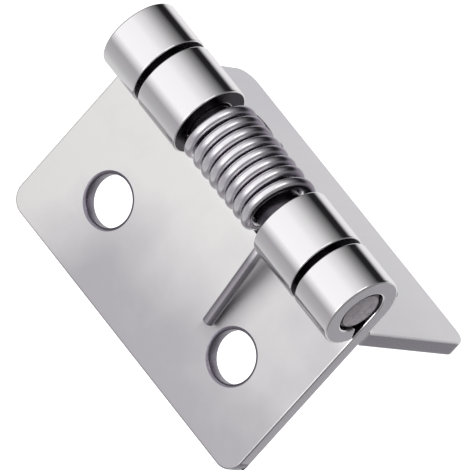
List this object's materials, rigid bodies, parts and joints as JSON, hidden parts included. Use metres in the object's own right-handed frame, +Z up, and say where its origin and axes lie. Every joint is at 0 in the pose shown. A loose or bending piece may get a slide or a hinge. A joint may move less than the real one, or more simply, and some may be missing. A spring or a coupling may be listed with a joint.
{
  "type": "spring butt hinge",
  "caption": "Small stainless spring butt hinge: two rolled-knuckle leaves with plain screw holes, a pin and a torsion spring that folds the leaves back.",
  "frame": {"origin": "on the fixed leaf's mounting face, midway between its two screw holes", "axes": "+Z up the hinge pin, +Y out of the fixed leaf's mounting face towards what it is screwed to, +X from the pin to the fixed leaf's outer edge"},
  "size_m": [0.0269, 0.0269, 0.038],
  "materials": {
    "leaf_steel": "satin stainless sheet, polished on the knuckles",
    "pin_steel": "cut stainless bar",
    "spring_steel": "bright drawn stainless wire"
  },
  "bodies": {
    "fixed_side": {"fixed_leaf": "leaf_steel", "hinge_pin": "pin_steel", "torsion_spring": "spring_steel"},
    "moving_side": {"moving_leaf": "leaf_steel"}
  },
  "joints": [
    {"name": "leaf_swing", "type": "hinge", "parent": "fixed_side", "child": "moving_side", "pos_m": [-0.0145, -0.00425, 0], "axis": [0, 0, 1], "range_deg": [0, 270], "stiffness_Nm_per_rad": 0.1, "springref_deg": -20.05, "deforming": ["torsion_spring"]}
  ]
}
